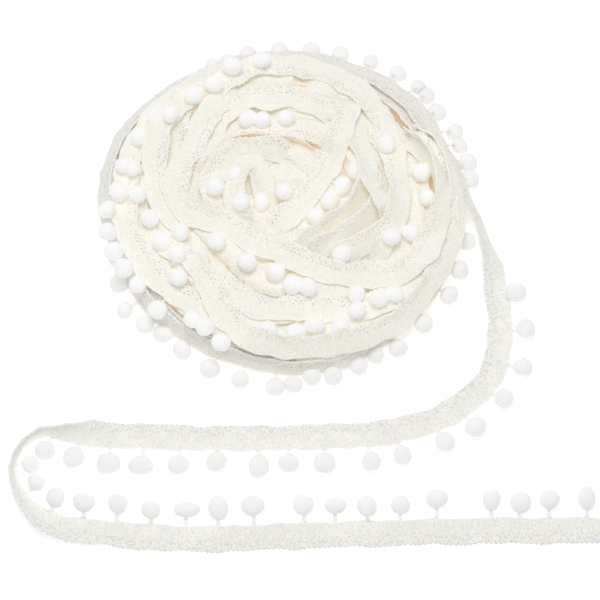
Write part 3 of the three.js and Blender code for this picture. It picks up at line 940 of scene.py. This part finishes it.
# Both yarn piles glow with painted light; the copy for the pompoms in the coil glows more, painted light
# that brings them up to those on the table.
yarn_pile = trimmed_yarn_pile("trimmed_yarn_pile", 0.03)
coil_pile_painted_glow = trimmed_yarn_pile("trimmed_yarn_pile_in_the_coil_painted_glow", 0.1)
table_top = lit_acrylic_table()

# ---------------------------------------------------------------- pieces


def finish_piece(piece, material, slot, *nodes):
    piece.data.materials.clear()
    piece.data.materials.append(material)
    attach(piece, "root")
    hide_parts(*nodes)
    return piece


hidden_forms = [model_pompom(1, seed, 0.05, 0) for seed in (1, 2, 3)]
coil_forms = [model_pompom(4, seed, 0.05, 0.012) for seed in (4, 5, 6, 7, 8)]
loose_forms = [model_pompom(13, seed, 0.06, 0.012) for seed in (9, 10, 11, 12, 13)]

lower_strips, upper_strips = turn_strips[:LOWER_COUNT], turn_strips[LOWER_COUNT:]
inner_turns = weave_tape(hidden_strips, "inner_turns", step=2.4, eyelets=0)
flat_turns = weave_tape(flat_strips, "flat_turns", step=1.2, eyelets=0)
rim_turns = weave_tape(rim_strips, "rim_turns", step=1.2, eyelets=0)
outermost_turn = weave_tape([outer_strip], "outermost_turn")
lower_turns = weave_tape(lower_strips, "lower_turns", eyelets=0.5, wave=1.9)
upper_turns = weave_tape(upper_strips, "upper_turns", eyelets=0.5, wave=1.9)
loose_tape = weave_tape([loose_strip], "loose_tape_cloth", eyelets=0.3)

inner_pile = make_pompoms("inner_pompoms", hidden_pompoms, hidden_forms, threads=1, sides=3)
outer_pile = make_pompoms("outermost_pompoms", outer_pompoms, coil_forms, longest=14)
turn_pile = make_pompoms("turn_pompoms", turn_pompoms, coil_forms)
for piece, yarn in ((inner_pile, coil_pile_painted_glow), (outer_pile, yarn_pile), (turn_pile, coil_pile_painted_glow)):
    finish_piece(piece, yarn, "pompom_pile", "wound_coil")
for piece, cloth in ((inner_turns, inner_cloth_painted_glow), (flat_turns, coil_cloth_painted_light),
                     (rim_turns, outer_cloth_painted_shade), (outermost_turn, outer_cloth_painted_shade),
                     (lower_turns, coil_cloth_painted_light), (upper_turns, coil_cloth_painted_light)):
    finish_piece(piece, cloth, "woven_tape", "wound_coil")

for count, pompom in enumerate(loose_pompoms, start=1):
    piece = make_pompoms(f"pile_{count:02d}", [pompom], loose_forms, threads=3, sides=6,
                         taper_range=(0.0, 0.2), longest=20)
    finish_piece(piece, yarn_pile, "pompom_pile", f"pompom_{count:02d}")
finish_piece(loose_tape, tape_cloth, "woven_tape", "loose_tape")

# ---------------------------------------------------------------- table, light and camera

# The table's top is 0.3 mm below the pieces, so that the two never share a plane.
bpy.ops.object.select_all(action="DESELECT")
bpy.ops.mesh.primitive_plane_add(size=4, location=(0, 0, -0.3 * MM))
table = bpy.context.object
table.name = "table"
table.data.materials.append(table_top)

world = bpy.data.worlds.new("white_studio")
bpy.context.scene.world = world
world.use_nodes = True
background = world.node_tree.nodes["Background"]
background.inputs["Color"].default_value = srgb("#FFFFFF")
background.inputs["Strength"].default_value = 0.5


def softbox(name, place, size, power):
    """A round lamp that faces the middle of the table."""
    light = bpy.data.lights.new(name, "AREA")
    light.shape = "DISK"
    light.size = size
    light.energy = power
    lamp = bpy.data.objects.new(name, light)
    lamp.location = place
    lamp.rotation_euler = (-Vector(place)).to_track_quat("-Z", "Y").to_euler()
    bpy.context.scene.collection.objects.link(lamp)


softbox("overhead_softbox", (-0.05, 0.10, 0.95), 0.5, 5.5)

eye = Vector(to_frame(EYE))
target = Vector(to_frame(LOOKS_AT))
lens = bpy.data.cameras.new("camera")
lens.sensor_width = 36
lens.angle = 2 * math.atan(HALF_PICTURE / FOCAL_LENGTH)
lens.clip_start = 0.01
camera = bpy.data.objects.new("camera", lens)
camera.location = eye
camera.rotation_euler = (target - eye).to_track_quat("-Z", "Y").to_euler()
scene = bpy.context.scene
scene.collection.objects.link(camera)
scene.camera = camera
# Pale cloth on a pale table: a plain view, opened up in the middle tones, and light that reaches deep
# into the coil.
scene.view_settings.view_transform = "Standard"
scene.view_settings.gamma = 1.6
scene.view_settings.exposure = -0.3
scene.cycles.max_bounces = 16
scene.cycles.diffuse_bounces = 10
